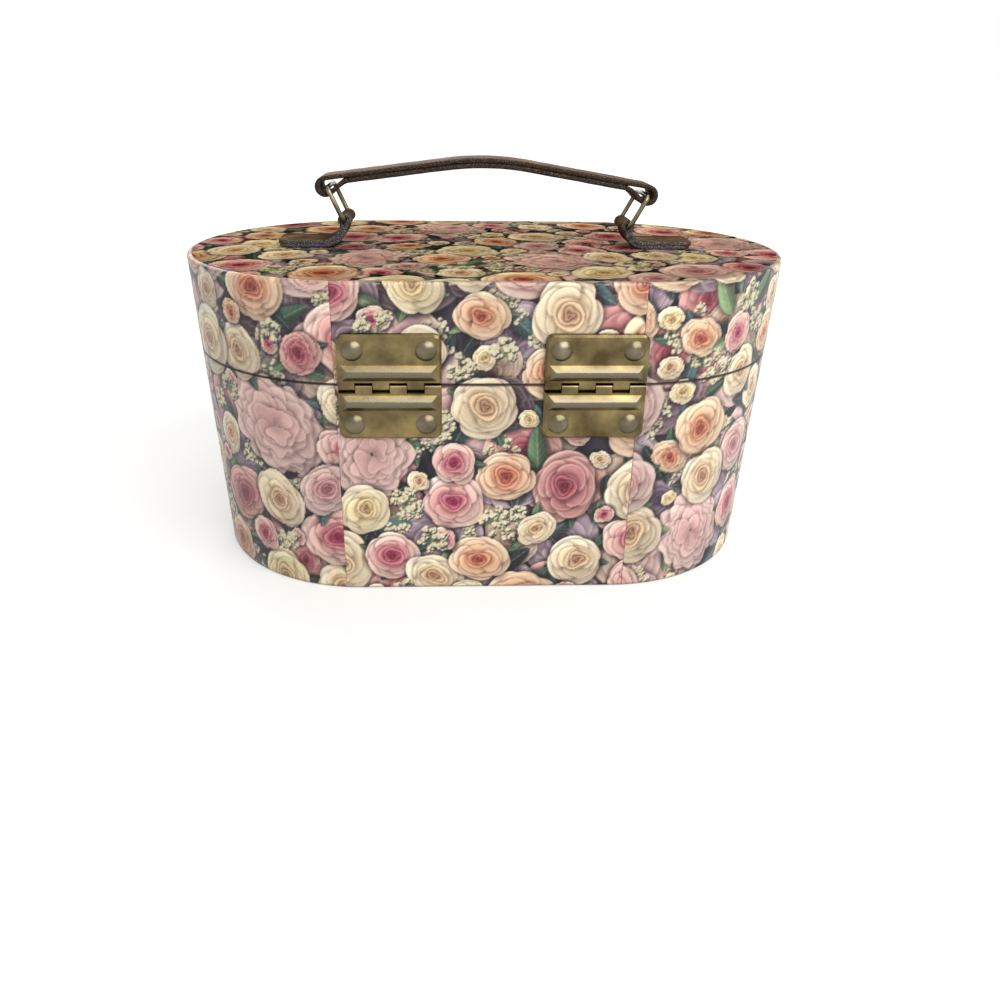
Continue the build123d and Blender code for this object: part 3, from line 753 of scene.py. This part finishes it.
def wall_paper(name, start, end, step, seed):
    """One upright sheet of printed paper, cut at the parting line into a base and a lid piece.

    The border on the lid takes the top's tone of age, dust and painted shade, edges are scuffed to bare paper,
    the parting line is darkened with painted shade, and the paper darkens towards the foot.
    """
    columns = np.linspace(start, end, int((end - start) / step))
    parts = [("base", *base_profile(step)), ("lid", *lid_profile(step))]
    heights = []
    for _, outer, _ in parts:
        run = np.concatenate([[0], np.cumsum(np.hypot(*np.diff(outer, axis=0).T))])
        heights.append(outer[0, 1] + run)
    rows = np.concatenate(heights)
    across, up = np.meshgrid(columns, rows)
    sheet = Sheet(across, up, seed)
    print_flowers(sheet, wall_tint, wall_depth)
    # The border on the lid takes the top's tone: partly age and dust, partly painted shade
    dust_and_shade_share = smooth(-0.3, 0.9, up - case_top)
    sheet.colour[:] = mix(sheet.colour, sheet.colour**top_age_and_shade_depth * top_age_and_shade_tint, dust_and_shade_share)
    from_parting, from_corner = np.abs(up - parting_line), np.abs(up - case_top + rim_turn / 4)
    patch_mm, fleck_mm = 2.4, 0.9
    scuffs = 0.6 * cloud(across, up, patch_mm, seed + 5) + 0.4 * cloud(across, up, fleck_mm, seed + 6)
    edges = smooth(1.7, 0.3, from_corner) + smooth(1.6, 0.4, up)
    edges += 0.6 * smooth(1.2, 0.4, from_parting)
    worn = 0.7 * np.minimum(edges, 1) * smooth(0.52, 0.7, scuffs)
    sheet.colour[:] = mix(sheet.colour, bare_paper, worn)
    # Darker along the parting line, as painted shade in the gap, and darker towards the foot
    darkening, foot = smooth(0.75, 0.1, from_parting), smooth(2.0, 0.2, up)
    sheet.colour *= (1 - parting_shade * darkening - foot_darkening * foot)[..., None]
    first = 0
    for part, outer, inner in parts:
        loop = np.concatenate([outer, inner])
        lap = seam_lap * smooth(lap_width, 0.0, columns - start)
        rings = wall_place(columns[:, None], loop[None, :, 1], loop[None, :, 0] + lap[:, None])
        piece = loft(f"{part}_paper_{name}", rings)
        colours = np.empty(rings.shape)
        colours[:, :len(outer)] = sheet.colour[first:first + len(outer)].transpose(1, 0, 2)
        # Inner faces near black: painted shade for the gap at the parting line
        colours[:, len(outer):] = shaded_paper_inside
        first += len(outer)
        colour_points(piece, colours)
        finish_piece(piece, paper, part, "paper_covered_board")


front_middle = girth / 2
front_start, front_end = front_middle - front_seam, front_middle + front_seam
wall_paper("back", seam_left, seam_right, hinge_side_step, 11)
wall_paper("right", seam_right, front_start, other_step, 23)
wall_paper("front", front_start, front_end, other_step, 35)
wall_paper("left", front_end, girth + seam_left, other_step, 47)


def top_paper(step, seed):
    """The oval sheet on the lid, darker and yellower than the walls: partly from lying under dust and light,
    partly painted shade.
    """
    radius = wall_half_depth(case_top) - top_sheet_inset
    row_density = 1.15
    turn = np.linspace(-math.pi / 2, math.pi / 2, int(2 * radius / step * row_density))
    share = np.linspace(-1, 1, int(2 * (radius + straight_half) / step))
    y = radius * np.sin(turn)
    half = straight_half + radius * np.cos(turn)
    across, up = half[:, None] * share[None, :], np.repeat(y[:, None], len(share), 1)
    sheet = Sheet(across, up, seed)
    print_flowers(sheet, top_age_and_shade_tint, top_age_and_shade_depth)
    top, back = case_top + 2 * paper_thickness, case_top + paper_thickness
    face = np.stack([across, up, np.full(across.shape, top)], -1)
    ends = np.stack([across[:, [-1, 0]], up[:, :2], np.full((len(y), 2), back)], -1)
    piece = loft("lid_paper_top", np.concatenate([face, ends], 1))
    colours = np.concatenate([sheet.colour, np.full((len(y), 2, 3), sheet_back)], 1)
    colour_points(piece, colours)
    finish_piece(piece, dusty_paper, "lid", "paper_covered_board")


top_paper(lid_step, 59)


# Leather and wire: flat strips and round wire swept along lines in the upright plane of the handle
def arc(centre, radius, start, end, step=0.12):
    turns = np.linspace(start, end, max(3, int(abs(end - start) / step)))
    return [(centre[0] + radius * math.cos(a), centre[1] + radius * math.sin(a)) for a in turns]


def resampled(line, step):
    """The same line with points at even steps, its corners eased."""
    line = np.array(line, float)
    run = np.concatenate([[0], np.cumsum(np.hypot(*np.diff(line, axis=0).T))])
    keep = np.concatenate([[True], np.diff(run) > 1e-6])
    even = np.linspace(0, run[-1], int(run[-1] / step))
    line = np.stack([np.interp(even, run[keep], line[keep, i]) for i in (0, 1)], -1)
    easing_passes = 3
    for _ in range(easing_passes):
        line[1:-1] = (line[:-2] + 2 * line[1:-1] + line[2:]) / 4
    return line


def rounded_section(width, thickness, radius):
    """Outline of a flat strip with rounded edges, as across and up."""
    outline = []
    for corner, (side, lift) in enumerate(((1, 1), (-1, 1), (-1, -1), (1, -1))):
        centre = (side * (width / 2 - radius), lift * (thickness / 2 - radius))
        start = corner * math.pi / 2
        outline += arc(centre, radius, start, start + math.pi / 2, 0.4)
    return np.array(outline)


def strip(name, line, thickness, seed, taper=None):
    """A leather strip of even width along a line of x and z, with slightly uneven edges and faces."""
    step, knot_gap = 0.7, 6
    edge_wander, face_swell, edge_round = 0.10, 0.045, 0.32
    rng = np.random.default_rng(seed)
    line = resampled(line, step)
    along = np.gradient(line, axis=0)
    along /= np.hypot(*along.T)[:, None]
    normal = np.stack([-along[:, 1], along[:, 0]], -1)
    section = rounded_section(leather_width, thickness, edge_round * thickness)
    run = np.arange(len(line))
    knots = np.arange(0, len(line) + knot_gap, knot_gap)
    wander = np.interp(run, knots, rng.normal(0, edge_wander, len(knots)))
    swell = np.interp(run, knots, rng.normal(0, face_swell, len(knots)))
    wide = np.ones(len(line)) if taper is None else taper(run * step, len(line) * step)
    across = section[None, :, 0] * wide[:, None] + wander[:, None]
    up = section[None, :, 1] * (1 + swell[:, None])
    x = line[:, None, 0] + normal[:, None, 0] * up
    z = line[:, None, 1] + normal[:, None, 1] * up
    return loft(name, np.stack([x, across, z], -1))


def handle_strap():
    """The strap and its liner, arched between the upper bars of the two rings."""
    left, right = left_bar, right_bar
    run = np.array([right[0] - left[0], right[2] - left[2]])
    length = math.hypot(*run)
    ahead = run / length
    lift = np.array([-ahead[1], ahead[0]])
    left_slack = loop_inner_radius - wire_radius - wire_clearance
    loop_x = (length + left_slack + right_slack) / 2
    middle = np.array([left[0], left[2]]) + ahead * (loop_x - left_slack)
    loop_radius = loop_inner_radius + strap_layer / 2
    touch_x = loop_x + loop_radius * math.sin(strap_slope)
    layer_radius = crown_radius - strap_layer / 2
    crown_y = loop_radius * math.cos(strap_slope) - layer_radius * math.cos(strap_slope)
    crown_y += (touch_x - layer_radius * math.sin(strap_slope)) * math.tan(strap_slope)
    lean = math.pi / 2 - strap_slope

    def arch(radius, reach):
        """Right half of a layer's line, from the crown to its end."""
        curve = arc((0, crown_y), radius, math.pi / 2, lean, 0.01)
        end = curve[-1]
        return curve + [(reach, end[1] - (reach - end[0]) * math.tan(strap_slope))]

    def placed(half):
        """Both halves of a line, set between the rings."""
        line = [(-x, y) for x, y in reversed(half[1:])] + half
        return [tuple(middle + ahead * x + lift * y) for x, y in line]

    turn_end = lean - math.pi - flap_turn
    loop = arc((loop_x, 0), loop_radius, lean, turn_end)
    liner_half = arch(layer_radius - strap_layer - liner_gap, touch_x - liner_end_inset)
    flap_start, flap_end = np.array(loop[-1]), np.array(liner_half[-1]) + (flap_gap, 0)
    flap_reach = np.hypot(*(flap_end - flap_start))
    leaving = flap_reach * np.array([math.sin(turn_end), -math.cos(turn_end)])
    arriving = flap_reach * np.array([-math.cos(strap_slope), math.sin(strap_slope)])
    flap = []
    for t in np.linspace(0.08, 1, 14):
        ease = t * t * (3 - 2 * t)
        point = flap_start + (flap_end - flap_start) * ease
        point = point + leaving * t * (1 - t) ** 2 - arriving * t * t * (1 - t)
        flap.append(tuple(point))
    outer = strip("handle_strap_layer", placed(arch(layer_radius, touch_x) + loop + flap), strap_layer, 71)
    finish_piece(outer, leather, "handle", "brown_leather", "handle_strap")
    under = strip("handle_liner_layer", placed(liner_half), strap_layer, 72)
    finish_piece(under, leather, "handle", "brown_leather", "handle_liner")


handle_strap()


def handle_tab(side, pivot):
    """A folded strip: out along the lid in two layers, bent up, and round the ring's lower bar."""
    name = "left" if side < 0 else "right"
    low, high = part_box(f"{name}_handle_tab")
    tab_end = max(abs(low.x), abs(high.x)) / MM
    eye_x, eye_z = abs(pivot[0]), pivot[2]
    bend = eye_z - case_top - tab_layer - tab_stem
    base = case_top + 2 * paper_thickness
    centre = (eye_x + bend, case_top + tab_layer + bend)
    eye = wire_radius + wire_clearance + tab_layer / 2
    lower = [(tab_end, base + tab_layer / 2)]
    lower += arc(centre, bend + tab_layer / 2 - 2 * paper_thickness, -math.pi / 2, -math.pi, 0.1)
    eye_start, eye_end = math.radians(205), math.radians(-25)
    loop = arc((eye_x, eye_z), eye, eye_start, eye_end, 0.15)
    upper = arc(centre, bend - tab_layer / 2, -math.pi, -math.pi / 2, 0.1)
    upper += [(tab_end, case_top + 1.5 * tab_layer)]

    def rounded_end(run, total):
        """Share of the full width near the tab's free ends, which are rounded."""
        from_end = np.minimum(run, total - run)
        short = np.clip(tab_end_radius - from_end, 0, tab_end_radius)
        half = leather_width / 2
        return (half - tab_end_radius + np.sqrt(tab_end_radius**2 - short**2 + 0.01)) / half

    line = [(side * x, z) for x, z in lower + loop + upper]
    tab = strip(f"{name}_tab_leather", line, tab_layer, 80 + side, rounded_end)
    finish_piece(tab, tab_leather, "lid", "brown_leather", f"{name}_handle_tab")


handle_tab(-1, left_pivot)
handle_tab(1, right_pivot)


def wire_ring(name, lower, upper):
    """Round brass wire bent to a rectangle with rounded corners."""
    rise = np.array([upper[0] - lower[0], 0, upper[2] - lower[2]])
    span = np.linalg.norm(rise)
    rise /= span
    across = np.array([0.0, 1.0, 0.0])
    half, corner = ring_width / 2, ring_corner_radius
    line = []
    for turn, (y, z) in enumerate(((half, 0), (half, span), (-half, span), (-half, 0))):
        centre = (y - math.copysign(corner, y), z + (corner if z == 0 else -corner))
        start = (turn - 1) * math.pi / 2
        line += arc(centre, corner, start, start + math.pi / 2, 0.2)
    line = np.array(line)
    ahead = np.roll(line, -1, 0) - np.roll(line, 1, 0)
    ahead /= np.hypot(*ahead.T)[:, None]
    out = np.stack([ahead[:, 1], -ahead[:, 0]], -1)
    turns = np.linspace(0, TAU, wire_sides, endpoint=False)
    plane = line[:, None, :] + wire_radius * np.cos(turns)[None, :, None] * out[:, None, :]
    face = np.cross(across, rise)
    rings = np.array(lower) + plane[..., :1] * across + plane[..., 1:] * rise
    rings = rings + wire_radius * np.sin(turns)[None, :, None] * face
    piece = loft(f"{name}_wire_ring", rings, closed=True)
    finish_piece(piece, wire_brass, f"{name}_ring", "antique_brass", f"{name}_handle_ring")


wire_ring("left", left_pivot, left_bar)
wire_ring("right", right_pivot, right_bar)

# CAD nodes that show as they are: the right finish, and eased edges on pressed brass
edge_ease, ease_angle = 0.35, math.radians(25)
for name, cad in frame["nodes"].items():
    if cad.hide_render:
        continue
    if "rivets" in name:
        finish = rivet_brass
    elif "leaf" in name:
        finish = hinge_brass
    elif name.endswith("pin"):
        finish = steel
    elif name == "lid_mirror":
        finish = mirror
    elif name.startswith(("base", "lid")):
        finish = lining
    else:
        finish = brass
    cad.data.materials.clear()
    cad.data.materials.append(finish)
    if finish in (brass, hinge_brass):
        ease = cad.modifiers.new("eased_edges", "BEVEL")
        ease.width = edge_ease * MM
        ease.segments = 3
        ease.limit_method = "ANGLE"
        ease.angle_limit = ease_angle
        ease.harden_normals = True

# Studio: pale floor, white surround and broad soft lamps
floor_mesh = bpy.data.meshes.new("studio_floor")
floor_half = 4.0
corners = [(x * floor_half, y * floor_half, 0) for x, y in ((-1, -1), (1, -1), (1, 1), (-1, 1))]
floor_mesh.from_pydata(corners, [], [(0, 1, 2, 3)])
floor = bpy.data.objects.new("studio_floor", floor_mesh)
bpy.context.scene.collection.objects.link(floor)
floor_material, floor_tree, floor_shader, floor_place = new_material("white_studio_floor")
floor_shader.inputs["Base Color"].default_value = paint("#C2C2C0")
floor_shader.inputs["Roughness"].default_value = 0.9
floor_shader.inputs["Specular IOR Level"].default_value = 0.0
floor_shader.inputs["Emission Color"].default_value = (1, 1, 1, 1)
floor_mesh.materials.append(floor_material)

# The floor glows less near the case, so that its shadow stays
away_from_case = node(floor_tree, "ShaderNodeVectorMath", [(0, floor_place)], operation="LENGTH")
floor_glow = node(
    floor_tree,
    "ShaderNodeMapRange",
    [("Value", away_from_case.outputs["Value"])],
    From_Min=0.25,
    From_Max=1.4,
    To_Min=0.4,
    To_Max=0.82,
)

surround_light = 0.42
world = bpy.data.worlds.new("studio_surround")
bpy.context.scene.world = world
world.use_nodes = True
surround = world.node_tree
background = surround.nodes["Background"]
background.inputs["Color"].default_value = (1, 1, 1, 1)

# White to the eye and in reflections, while the lighting keeps its plain level
floor_shown = [("To Max", floor_glow.outputs["Result"])]
for tree, target, hidden, shown in (
    (floor_tree, floor_shader.inputs["Emission Strength"], 0.0, floor_shown),
    (surround, background.inputs["Strength"], surround_light, []),
):
    ray = node(tree, "ShaderNodeLightPath").outputs
    seen = node(
        tree,
        "ShaderNodeMath",
        [(0, ray["Is Camera Ray"]), (1, ray["Is Glossy Ray"])],
        operation="MAXIMUM",
    )
    seen = node(
        tree,
        "ShaderNodeMath",
        [(0, seen.outputs["Value"]), (1, ray["Is Transmission Ray"])],
        operation="MAXIMUM",
    )
    strength = node(tree, "ShaderNodeMapRange", [("Value", seen.outputs["Value"]), *shown], To_Min=hidden)
    tree.links.new(strength.outputs["Result"], target)


def soft_lamp(name, place, target, size, power):
    """A broad rectangular lamp, aimed at a point, in metres and watts."""
    data = bpy.data.lights.new(name, "AREA")
    data.shape = "RECTANGLE"
    data.size, data.size_y = size
    data.energy = power
    lamp = bpy.data.objects.new(name, data)
    lamp.location = place
    lamp.rotation_euler = (Vector(target) - Vector(place)).to_track_quat("-Z", "Y").to_euler()
    bpy.context.scene.collection.objects.link(lamp)


soft_lamp("front_window", (0.56, -0.92, 0.95), (0, 0, 0.07), (1.5, 1.0), 22.5)
soft_lamp("top_softbox", (0.3, 0.25, 1.2), (0, 0, 0.1), (1.0, 1.0), 4.5)
soft_lamp("far_fill", (-0.45, 1.15, 0.8), (0, 0, 0.07), (1.2, 0.8), 10)

# Camera at the photograph's viewing angle
camera_target = Vector((0, 0, 0.070))
camera_distance = 0.40312
camera_elevation = 0.31834
camera_yaw = -0.04413
camera_roll = 0.01354
camera_data = bpy.data.cameras.new("photo_camera")
camera_data.sensor_width = 36.0
camera_data.lens = 31.455
camera_data.shift_x = 0.0156
camera_data.shift_y = -0.12425
camera = bpy.data.objects.new("photo_camera", camera_data)
bpy.context.scene.collection.objects.link(camera)
away = Vector((
    math.sin(camera_yaw) * math.cos(camera_elevation),
    -math.cos(camera_yaw) * math.cos(camera_elevation),
    math.sin(camera_elevation),
))
camera.location = camera_target + away * camera_distance
aim = (-away).to_track_quat("-Z", "Y").to_matrix().to_4x4()
camera.rotation_euler = (aim @ Matrix.Rotation(camera_roll, 4, "Z")).to_euler()
bpy.context.scene.camera = camera
bpy.context.scene.view_settings.view_transform = "Standard"

bpy.context.view_layer.update()
